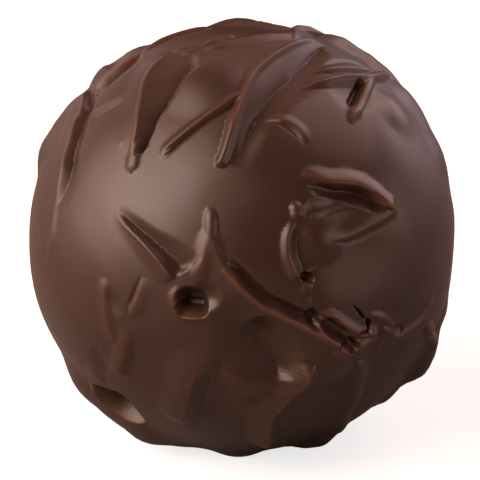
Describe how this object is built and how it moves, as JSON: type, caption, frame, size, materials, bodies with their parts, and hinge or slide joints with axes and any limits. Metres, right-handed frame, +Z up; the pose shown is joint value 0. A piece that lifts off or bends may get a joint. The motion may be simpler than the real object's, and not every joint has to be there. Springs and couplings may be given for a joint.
{
  "type": "praline chocolate",
  "caption": "Round hand-dipped praline of dark chocolate: a ball on a small flat foot, its satin coat pulled into thin folds, torn bubbles and pits.",
  "frame": {"origin": "middle of the small flat foot that the praline rests on", "axes": "+Z up, away from the foot; the side with the lid-shaped fold faces -Y; +X to that side's right"},
  "size_m": [0.0289, 0.0296, 0.0285],
  "materials": {
    "dark_chocolate": "satin dark chocolate, smooth, with a soft broad sheen"
  },
  "bodies": {
    "root": {"praline": "dark_chocolate"}
  },
  "joints": []
}
